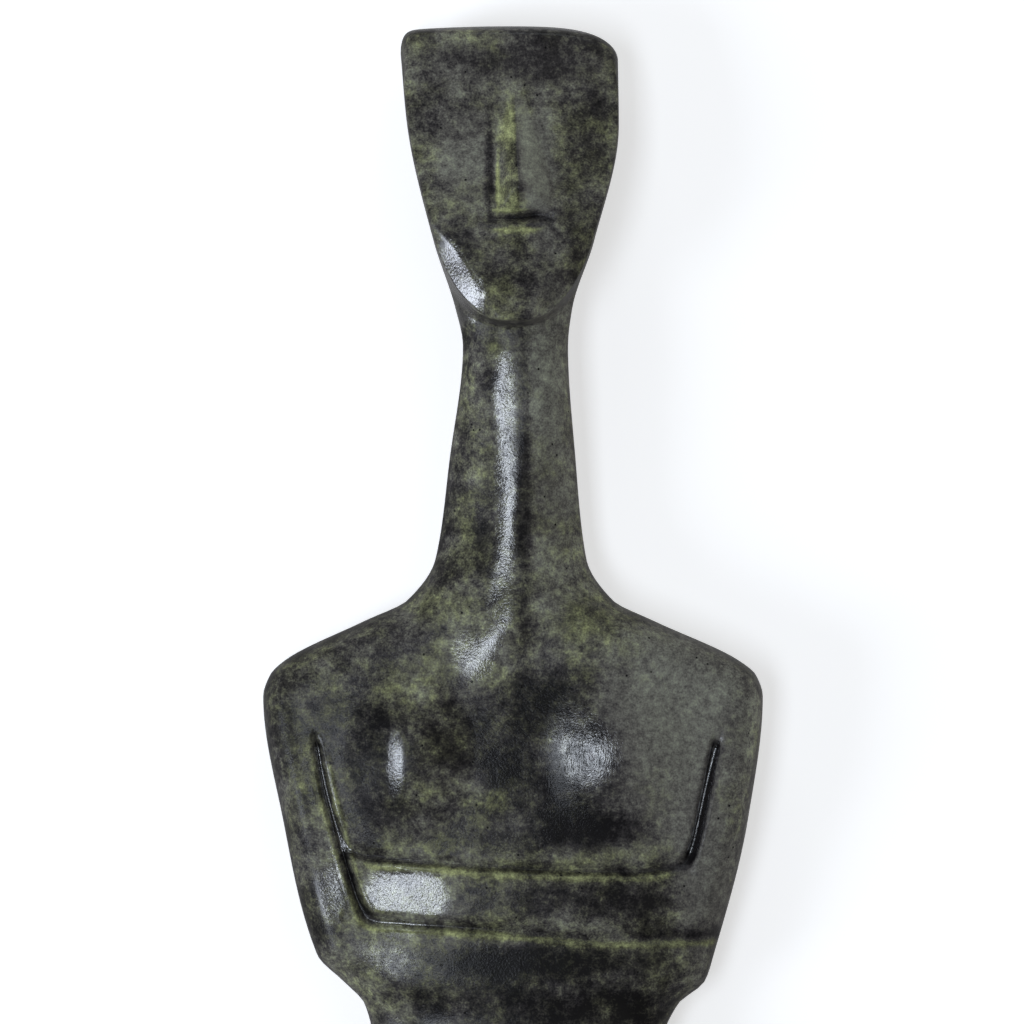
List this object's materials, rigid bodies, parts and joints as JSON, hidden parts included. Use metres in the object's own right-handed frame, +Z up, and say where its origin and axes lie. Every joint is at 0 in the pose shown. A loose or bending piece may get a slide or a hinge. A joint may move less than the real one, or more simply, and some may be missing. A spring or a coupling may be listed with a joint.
{
  "type": "cycladic figurine",
  "caption": "Slender cast bronze figurine with a shield-shaped face, long neck, folded forearms and close-set legs, lying on its back.",
  "frame": {"origin": "middle of the footprint, on the ground the figurine lies on", "axes": "+Z up, out of the figurine's front; +Y along its length towards the head; +X towards its left arm"},
  "size_m": [0.06, 0.246, 0.0185],
  "materials": {
    "bronze_patina": "dark green-black patina over cast bronze, waxed to a soft sheen, mottled with olive green"
  },
  "bodies": {
    "root": {"figurine": "bronze_patina"}
  },
  "joints": []
}
